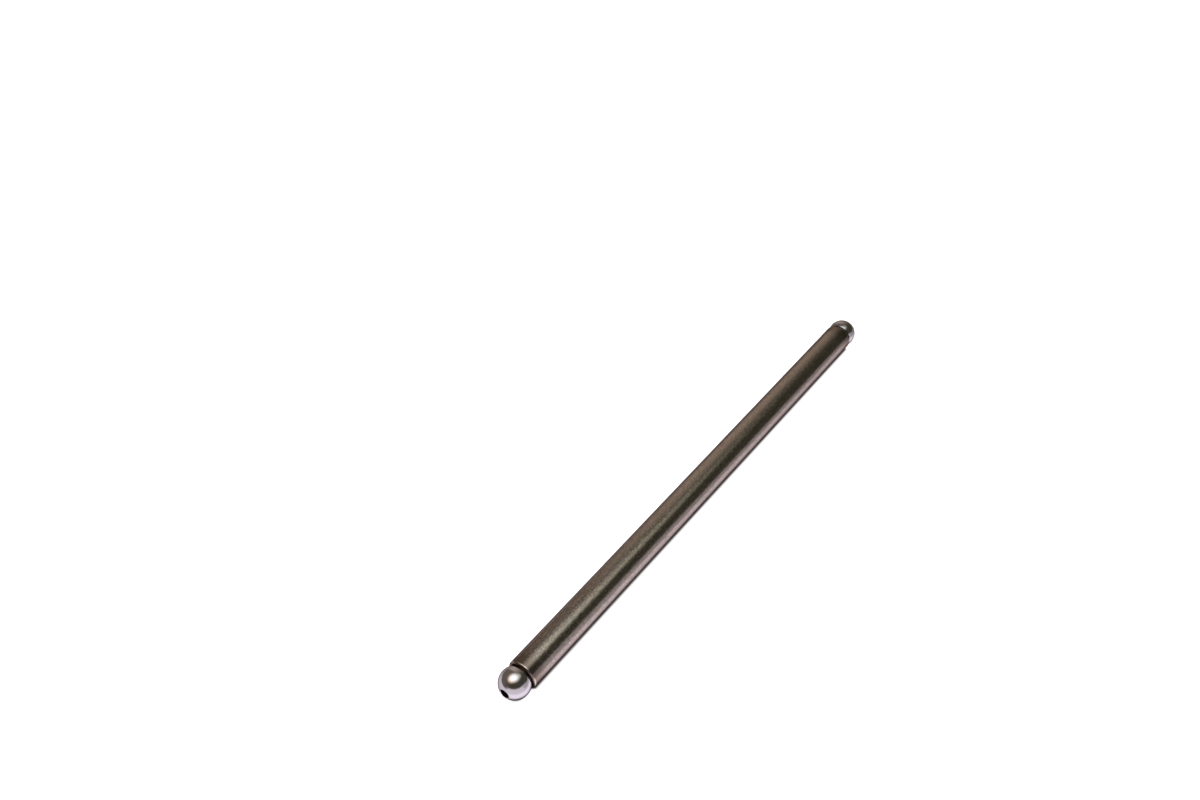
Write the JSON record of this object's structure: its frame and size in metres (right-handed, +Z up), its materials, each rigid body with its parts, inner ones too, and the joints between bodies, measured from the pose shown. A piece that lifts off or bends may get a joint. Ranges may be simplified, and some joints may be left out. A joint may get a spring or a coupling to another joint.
{
  "type": "engine pushrod",
  "caption": "Straight steel pushrod: a dark thick-walled tube with a bright drilled ball end pressed into each mouth, passing valve lift and oil from lifter to rocker arm.",
  "frame": {"origin": "on the rod's axis, half way between the two ball centres", "axes": "+X along the rod from the lifter end to the rocker end; +Z up with the rod lying on its side"},
  "size_m": [0.1648, 0.008, 0.008],
  "materials": {
    "dark_oxide_steel": "dark grey-brown oxide on fine drawn steel, semi-gloss",
    "bright_hardened_steel": "bright hardened steel, ground and satin polished"
  },
  "bodies": {
    "root": {"tube": "dark_oxide_steel", "ball_end_lifter": "bright_hardened_steel", "ball_end_rocker": "bright_hardened_steel"}
  },
  "joints": []
}
